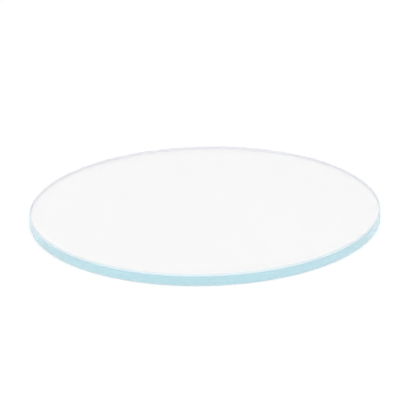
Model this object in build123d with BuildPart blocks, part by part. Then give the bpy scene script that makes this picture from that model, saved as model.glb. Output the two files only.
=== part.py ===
from build123d import *
import os

# Flat round mineral glass for a wristwatch, ground from one blank.
# Two parallel polished faces are joined by a ground cylindrical rim, which the gasket or
# bezel of the case grips. A narrow 45 degree bevel runs round each face, and polishing has
# rolled the arrises of both bevels over.
# The dial side lies on the XY plane with its centre at the origin, and +Z is the wearer's side.

# Driving dimensions, in millimetres
crystal_diameter = 30.0
crystal_thickness = 1.0
outer_bevel_leg = 0.12
seat_bevel_leg = 0.10
arris_radius = 0.03

# Radii and levels that follow from them
rim_radius = crystal_diameter / 2
outer_face_radius = rim_radius - outer_bevel_leg
seat_face_radius = rim_radius - seat_bevel_leg
rim_top = crystal_thickness - outer_bevel_leg
rim_bottom = seat_bevel_leg

with BuildPart() as crystal:
    with BuildSketch(Plane.XZ) as half_section:
        with BuildLine():
            seat_face = Line((0, 0), (seat_face_radius, 0))
            seat_bevel = Line(seat_face @ 1, (rim_radius, rim_bottom))
            rim = Line(seat_bevel @ 1, (rim_radius, rim_top))
            outer_bevel = Line(rim @ 1, (outer_face_radius, crystal_thickness))
            outer_face = Line(outer_bevel @ 1, (0, crystal_thickness))
            Line(outer_face @ 1, seat_face @ 0)
        make_face()
        arrises = half_section.vertices().filter_by(lambda corner: corner.X > 0)
        fillet(arrises, arris_radius)
    revolve(axis=Axis.Z)
crystal.part.label = "crystal"

os.makedirs("parts", exist_ok=True)
export_step(crystal.part, "parts/crystal.step")
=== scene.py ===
import math

import bpy
from mathutils import Matrix, Vector


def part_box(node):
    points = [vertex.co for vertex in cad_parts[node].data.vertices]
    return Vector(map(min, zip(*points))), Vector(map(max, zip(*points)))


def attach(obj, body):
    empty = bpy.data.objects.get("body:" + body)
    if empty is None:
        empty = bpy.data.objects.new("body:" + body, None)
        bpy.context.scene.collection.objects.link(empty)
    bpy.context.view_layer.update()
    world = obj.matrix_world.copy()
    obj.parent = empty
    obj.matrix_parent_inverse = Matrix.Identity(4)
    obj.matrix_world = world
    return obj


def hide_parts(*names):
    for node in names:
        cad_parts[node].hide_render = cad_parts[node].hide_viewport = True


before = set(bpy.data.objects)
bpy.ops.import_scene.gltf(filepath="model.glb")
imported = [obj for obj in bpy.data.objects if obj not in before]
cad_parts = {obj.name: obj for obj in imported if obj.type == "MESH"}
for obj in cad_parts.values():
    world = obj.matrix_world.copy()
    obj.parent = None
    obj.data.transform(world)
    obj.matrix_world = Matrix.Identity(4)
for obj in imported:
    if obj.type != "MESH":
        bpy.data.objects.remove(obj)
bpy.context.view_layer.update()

# Sizes of the crystal, in metres

low_corner, high_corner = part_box("crystal")
RIM_RADIUS = (high_corner.x - low_corner.x) / 2
THICKNESS = high_corner.z - low_corner.z
OUTER_BEVEL_LEG = 0.00012
SEAT_BEVEL_LEG = 0.00010
ARRIS_RADIUS = 0.00003

# How finely its mesh is cut

SIDES = 512
ARRIS_STEPS = 6
FACE_RING_SHARES = (0.25, 0.5, 0.75, 0.92)

# Optics of soda-lime glass. Its colour is what is left of white light that goes in and out once.

GLASS_IOR = 1.52
GLASS_COLOUR = (0.923, 0.904, 0.9, 1.0)
ABSORPTION_PER_MM = Vector((0.0186, 0.0031, 0.0014))

# Finish of its ground rim. Frost is the share of a surface that scatters light. It looks matt white
# from outside. From within the glass it glows with the light outside, and more of the wall does so.

GROUND_ROUGHNESS = 0.2
WALL_FROST = 0.1
WALL_FROST_WITHIN = 0.8
OUTER_BEVEL_FROST = 0.7
SEAT_BEVEL_FROST = 0.65
FROST_COLOUR = (0.85, 0.865, 0.895, 1.0)
GLOW_COLOUR = (0.86, 0.84, 0.885, 1.0)

# The wheel's marks run round the rim, so they are fine up its wall and long round it

MARKS_PER_M_UP = 18000.0
MARKS_PER_M_ROUND = 260.0
MARKS_DETAIL = 3.0
MARK_DEPTH = 0.000001
MARKS_ROUGHEN = 0.06
MARKS_FROST = 0.1
CLOUDS_PER_M = 420.0
CLOUDS_DETAIL = 2.0
CLOUDS_FROST = 0.05
NOISE_MIDDLE = 0.5

# The photograph's view of it. Its pixels are those of a 400 pixel frame.

FRAME_SIDE_PX = 400
FACE_CENTRE_PX = Vector((204.66, 205.45))
RIM_RADIUS_PX = 175.1
CAMERA_ELEVATION_DEG = 21.47
CAMERA_ROLL_DEG = 1.2
CAMERA_DISTANCE_RADII = 12.0
CLIP_START_SHARE = 0.05
CLIP_END_SHARE = 100.0
SENSOR_WIDTH_MM = 36.0

# Floor. The share that takes light and shadow fades out between two distances from its middle.

WHITE = (1.0, 1.0, 1.0, 1.0)
FLOOR_SIDE = 6.0
FLOOR_GAP = 0.00001
FLOOR_COLOUR = (0.8, 0.8, 0.8, 1.0)
FLOOR_LIT_SHARE = 0.5
FLOOR_LIT_WITHIN = 0.05
FLOOR_WHITE_BEYOND = 0.12

# Sky and lamp. A level is how bright a thing is beside white, which is 1. The sky's level falls to
# that of its left and right sides between two angles from the plane x = 0, for matt surfaces alone.

SKY_LEVEL = 1.0
SKY_SIDE_LEVEL = 0.2
SKY_SIDE_START_DEG = 33.0
SKY_SIDE_END_DEG = 72.0
SOFTBOX_SIDE = 0.24
SOFTBOX_DISTANCE = 0.3
SOFTBOX_ELEVATION_DEG = 60.0
SOFTBOX_LEVEL = 1.3
LIGHT_BOUNCES = 64

MM_PER_M = 1000


class Wire:
    """A value in a node tree. Sums and products of wires add the Math nodes that work them out."""

    def __init__(self, finish, socket):
        self.finish = finish
        self.socket = socket

    def maths(self, operation, *values):
        node = self.finish.node("Math", {"operation": operation}, dict(enumerate(values)))
        return Wire(self.finish, node.outputs[0])

    def __add__(self, other):
        return self.maths("ADD", self, other)

    __radd__ = __add__

    def __sub__(self, other):
        return self.maths("SUBTRACT", self, other)

    def __rsub__(self, other):
        return self.maths("SUBTRACT", other, self)

    def __mul__(self, other):
        return self.maths("MULTIPLY", self, other)

    __rmul__ = __mul__

    def either(self, other):
        """The greater of the two values."""
        return self.maths("MAXIMUM", self, other)


class Finish:
    """The node tree of a finish, a floor or a sky."""

    def __init__(self, owner):
        owner.use_nodes = True
        self.tree = owner.node_tree
        self.tree.nodes.clear()

    def node(self, kind, settings=None, sockets=None):
        made = self.tree.nodes.new("ShaderNode" + kind)
        for name, value in (settings or {}).items():
            setattr(made, name, value)
        for name, value in (sockets or {}).items():
            if isinstance(value, Wire):
                self.tree.links.new(value.socket, made.inputs[name])
            else:
                made.inputs[name].default_value = value
        return made

    def wire(self, kind, output, settings=None, sockets=None):
        return Wire(self, self.node(kind, settings, sockets).outputs[output])

    def scaled(self, vector, by):
        """A vector with each of its parts multiplied by a part of by."""
        return self.wire("VectorMath", "Vector", {"operation": "MULTIPLY"}, {0: vector, 1: by})

    def noise(self, place, scale, detail):
        return self.wire("TexNoise", "Fac", sockets={"Vector": place, "Scale": scale, "Detail": detail})

    def rays(self, *kinds):
        """1 for rays of these kinds, and 0 for the rest."""
        path = self.node("LightPath")
        wires = [Wire(self, path.outputs[f"Is {kind} Ray"]) for kind in kinds]
        found = wires[0]
        for wire in wires[1:]:
            found = found.either(wire)
        return found

    def smooth_step(self, value, start, end, before=0.0, after=1.0):
        """before where value is under start, after where it is over end, and a smooth change between."""
        return self.wire(
            "MapRange",
            "Result",
            {"interpolation_type": "SMOOTHSTEP"},
            {"Value": value, "From Min": start, "From Max": end, "To Min": before, "To Max": after},
        )


# Camera


def photograph_camera():
    """A long lens, rolled a little, placed so that the crystal fits its photographed outline."""
    face_centre = Vector((0.0, 0.0, THICKNESS))
    distance = CAMERA_DISTANCE_RADII * RIM_RADIUS
    back = towards(CAMERA_ELEVATION_DEG)
    level = back.to_track_quat("Z", "Y")
    turn = level @ Matrix.Rotation(-math.radians(CAMERA_ROLL_DEG), 3, "Z").to_quaternion()
    right = turn @ Vector((1.0, 0.0, 0.0))
    up = turn @ Vector((0.0, 1.0, 0.0))
    metres_per_px = RIM_RADIUS / RIM_RADIUS_PX
    middle = Vector((FRAME_SIDE_PX / 2, FRAME_SIDE_PX / 2))
    off_centre = (FACE_CENTRE_PX - middle) * metres_per_px
    eye = face_centre + distance * back
    aim = face_centre - right * off_centre.x + up * off_centre.y
    lens = bpy.data.cameras.new("camera")
    lens.sensor_width = SENSOR_WIDTH_MM
    lens.lens = SENSOR_WIDTH_MM * distance / (FRAME_SIDE_PX * metres_per_px)
    lens.clip_start = distance * CLIP_START_SHARE
    lens.clip_end = distance * CLIP_END_SHARE
    camera = bpy.data.objects.new("camera", lens)
    bpy.context.collection.objects.link(camera)
    camera.rotation_mode = "QUATERNION"
    camera.location = eye
    camera.rotation_quaternion = turned_to(aim - eye, up)
    bpy.context.scene.camera = camera


def towards(elevation_deg):
    """The direction from the crystal to a thing in front of it and so far above the floor."""
    elevation = math.radians(elevation_deg)
    return Vector((0.0, -math.cos(elevation), math.sin(elevation)))


def turned_to(look, up):
    """The turn of a camera that looks along look, with up as near to the top of its picture as may be."""
    z = -look.normalized()
    x = up.cross(z).normalized()
    y = z.cross(x)
    return Matrix((x, y, z)).transposed().to_quaternion()


# Shape of the crystal


def half_section():
    """The crystal's outline from the middle of the dial side to the middle of the wearer's side.

    Each point is a radius, a height and the heading of the outline there. Out is on its right hand.
    """
    corners = (
        (RIM_RADIUS - SEAT_BEVEL_LEG, 0.0),
        (RIM_RADIUS, SEAT_BEVEL_LEG),
        (RIM_RADIUS, THICKNESS - OUTER_BEVEL_LEG),
        (RIM_RADIUS - OUTER_BEVEL_LEG, THICKNESS),
    )
    turn = math.pi / len(corners)
    seat_radius = corners[0][0]
    outer_radius = corners[-1][0]
    points = [(seat_radius * share, 0.0, 0.0) for share in FACE_RING_SHARES]
    for number, corner in enumerate(corners):
        points += arris(corner, number * turn, turn)
    points += [(outer_radius * share, THICKNESS, math.pi) for share in reversed(FACE_RING_SHARES)]
    return points


def arris(corner, heading, turn):
    """The rolled edge at a corner of the outline, where its heading changes by turn."""
    reach = ARRIS_RADIUS * math.tan(turn / 2)
    start = (corner[0] - reach * math.cos(heading), corner[1] - reach * math.sin(heading))
    centre = (start[0] - ARRIS_RADIUS * math.sin(heading), start[1] + ARRIS_RADIUS * math.cos(heading))
    points = []
    for step in range(ARRIS_STEPS + 1):
        angle = heading + turn * step / ARRIS_STEPS
        radius = centre[0] + ARRIS_RADIUS * math.sin(angle)
        height = centre[1] - ARRIS_RADIUS * math.cos(angle)
        points.append((radius, height, angle))
    return points


def turned_glass(name, outline):
    """The outline turned round the Z axis and closed by a fan at each end, with the form's own normals."""
    vertices = [(0.0, 0.0, 0.0)]
    normals = [(0.0, 0.0, -1.0)]
    for radius, height, heading in outline:
        across = math.sin(heading)
        for side in range(SIDES):
            angle = 2 * math.pi * side / SIDES
            vertices.append((radius * math.cos(angle), radius * math.sin(angle), height))
            normals.append((across * math.cos(angle), across * math.sin(angle), -math.cos(heading)))
    vertices.append((0.0, 0.0, THICKNESS))
    normals.append((0.0, 0.0, 1.0))
    top = len(vertices) - 1
    faces = []
    for side in range(SIDES):
        after = (side + 1) % SIDES
        faces.append((0, 1 + after, 1 + side))
        for ring in range(len(outline) - 1):
            inner = 1 + ring * SIDES
            outer = inner + SIDES
            faces.append((inner + side, inner + after, outer + after, outer + side))
        last = top - SIDES
        faces.append((last + side, last + after, top))
    mesh = bpy.data.meshes.new(name)
    mesh.from_pydata(vertices, [], faces)
    mesh.shade_smooth()
    mesh.normals_split_custom_set_from_vertices(normals)
    piece = bpy.data.objects.new(name, mesh)
    bpy.context.collection.objects.link(piece)
    return piece


# Finish of the crystal


def mineral_glass():
    """Clear glass with a faint blue-green body, polished on its faces and fine ground round its rim."""
    material = bpy.data.materials.new("mineral_glass")
    finish = Finish(material)
    place = finish.wire("TexCoord", "Object")
    ground = ground_rim(finish, place)
    marks = wheel_marks(finish, place)
    within = finish.wire("NewGeometry", "Backfacing")
    rough = GROUND_ROUGHNESS + MARKS_ROUGHEN * (marks - NOISE_MIDDLE)
    relief = finish.wire("Bump", "Normal", sockets={"Height": marks * ground, "Distance": MARK_DEPTH})
    clear = finish.wire("BsdfPrincipled", "BSDF", sockets={
        "Base Color": GLASS_COLOUR,
        "Roughness": rough * ground,
        "IOR": GLASS_IOR,
        "Transmission Weight": 1.0,
        "Normal": relief,
    })
    frosted = frosted_glass(finish, relief, within)
    frost = ground * frost_of_rim(finish, place, marks, within)
    surface = finish.wire("MixShader", "Shader", sockets={0: frost, 1: clear, 2: frosted})
    finish.node("OutputMaterial", sockets={"Surface": surface, "Volume": body_colour(finish)})
    return material


def ground_rim(finish, place):
    """1 on the wall and the bevels, and 0 on the polished faces."""
    flat = finish.scaled(place, (1.0, 1.0, 0.0))
    radius = finish.wire("VectorMath", "Value", {"operation": "LENGTH"}, {0: flat})
    face_edge = RIM_RADIUS - OUTER_BEVEL_LEG
    return finish.smooth_step(radius, face_edge - ARRIS_RADIUS / 2, face_edge + ARRIS_RADIUS / 2)


def wheel_marks(finish, place):
    """The fine marks that the grinding wheel left round the rim."""
    drawn_out = finish.scaled(place, (MARKS_PER_M_ROUND, MARKS_PER_M_ROUND, MARKS_PER_M_UP))
    return finish.noise(drawn_out, 1.0, MARKS_DETAIL)


def frosted_glass(finish, relief, within):
    """What scatters on the ground rim: matt white from outside, and a glow from within the glass."""
    matt = finish.wire("BsdfDiffuse", "BSDF", sockets={"Color": FROST_COLOUR, "Normal": relief})
    glow = finish.wire("BsdfTranslucent", "BSDF", sockets={"Color": GLOW_COLOUR})
    return finish.wire("MixShader", "Shader", sockets={0: within, 1: matt, 2: glow})


def frost_of_rim(finish, place, marks, within):
    """How much of the rim scatters: most on the bevels, and a little unevenly all round."""
    height = finish.wire("SeparateXYZ", "Z", sockets={"Vector": place})
    roll = ARRIS_RADIUS / 2
    wall_top = THICKNESS - OUTER_BEVEL_LEG
    wall = WALL_FROST + (WALL_FROST_WITHIN - WALL_FROST) * within
    outer = finish.smooth_step(height, wall_top - roll, wall_top + roll, 0.0, OUTER_BEVEL_FROST)
    seat = finish.smooth_step(height, SEAT_BEVEL_LEG - roll, SEAT_BEVEL_LEG + roll, SEAT_BEVEL_FROST, 0.0)
    clouds = finish.noise(place, CLOUDS_PER_M, CLOUDS_DETAIL)
    uneven = MARKS_FROST * (marks - NOISE_MIDDLE) + CLOUDS_FROST * (clouds - NOISE_MIDDLE)
    return wall.either(outer).either(seat) + uneven


def body_colour(finish):
    """What the glass takes from light on its way through, most from the red."""
    strongest = max(ABSORPTION_PER_MM)
    tint = [1 - taken / strongest for taken in ABSORPTION_PER_MM]
    return finish.wire("VolumeAbsorption", "Volume", sockets={
        "Color": (*tint, 1.0),
        "Density": strongest * MM_PER_M,
    })


def crystal_glass():
    piece = turned_glass("crystal_glass", half_section())
    piece.data.materials.append(mineral_glass())
    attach(piece, "root")
    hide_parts("crystal")


# Floor, sky and lamp


def studio_floor():
    half = FLOOR_SIDE / 2
    corners = [(-half, -half), (half, -half), (half, half), (-half, half)]
    mesh = bpy.data.meshes.new("floor")
    mesh.from_pydata([(x, y, -FLOOR_GAP) for x, y in corners], [], [(0, 1, 2, 3)])
    mesh.materials.append(studio_white())
    floor = bpy.data.objects.new("floor", mesh)
    bpy.context.collection.objects.link(floor)


def studio_white():
    """White to look at. Near the crystal, a share of that white takes light and shadow."""
    material = bpy.data.materials.new("studio_white")
    finish = Finish(material)
    plain = finish.wire("BsdfDiffuse", "BSDF", sockets={"Color": FLOOR_COLOUR})
    faint = finish.wire("BsdfDiffuse", "BSDF", sockets={"Color": (FLOOR_LIT_SHARE,) * 3 + (1.0,)})
    white = finish.wire("Emission", "Emission", sockets={"Color": WHITE, "Strength": 1 - FLOOR_LIT_SHARE})
    near = finish.wire("AddShader", "Shader", sockets={0: faint, 1: white})
    far = finish.wire("Emission", "Emission", sockets={"Color": WHITE})
    place = finish.wire("TexCoord", "Object")
    radius = finish.wire("VectorMath", "Value", {"operation": "LENGTH"}, {0: place})
    away = finish.smooth_step(radius, FLOOR_LIT_WITHIN, FLOOR_WHITE_BEYOND)
    backdrop = finish.wire("MixShader", "Shader", sockets={0: away, 1: near, 2: far})
    seen = finish.rays("Camera", "Glossy", "Transmission")
    shown = finish.wire("MixShader", "Shader", sockets={0: seen, 1: plain, 2: backdrop})
    finish.node("OutputMaterial", sockets={"Surface": shown})
    return material


def studio_sky():
    """The white of a light tent. It looks even, but lights matt surfaces less from its two sides."""
    world = bpy.data.worlds.new("sky")
    bpy.context.scene.world = world
    finish = Finish(world)
    direction = finish.wire("TexCoord", "Generated")
    across = finish.wire("SeparateXYZ", "X", sockets={"Vector": direction})
    start = math.sin(math.radians(SKY_SIDE_START_DEG)) ** 2
    end = math.sin(math.radians(SKY_SIDE_END_DEG)) ** 2
    sideways = finish.smooth_step(across * across, start, end)
    seen = finish.rays("Camera", "Glossy", "Transmission")
    white = finish.wire("Background", "Background", sockets={"Color": WHITE, "Strength": SKY_LEVEL})
    dim = finish.wire("Background", "Background", sockets={"Color": WHITE, "Strength": SKY_SIDE_LEVEL})
    sky = finish.wire("MixShader", "Shader", sockets={0: sideways * (1 - seen), 1: white, 2: dim})
    finish.node("OutputWorld", sockets={"Surface": sky})


def softbox():
    """A square soft lamp above the camera, turned to the crystal. Mirror images don't show it."""
    lamp = bpy.data.lights.new("softbox", "AREA")
    lamp.size = SOFTBOX_SIDE
    lamp.energy = math.pi * SOFTBOX_SIDE**2 * SOFTBOX_LEVEL
    panel = bpy.data.objects.new("softbox", lamp)
    bpy.context.collection.objects.link(panel)
    back = towards(SOFTBOX_ELEVATION_DEG)
    panel.location = back * SOFTBOX_DISTANCE
    panel.rotation_mode = "QUATERNION"
    panel.rotation_quaternion = back.to_track_quat("Z", "Y")
    panel.visible_glossy = False


def let_light_through():
    """Bounces enough for light to run right across inside the glass, without a blur that saves time."""
    cycles = bpy.context.scene.cycles
    cycles.max_bounces = LIGHT_BOUNCES
    cycles.transmission_bounces = LIGHT_BOUNCES
    cycles.glossy_bounces = LIGHT_BOUNCES
    cycles.blur_glossy = 0.0


photograph_camera()
crystal_glass()
studio_floor()
studio_sky()
softbox()
let_light_through()
bpy.context.scene.view_settings.view_transform = "Standard"
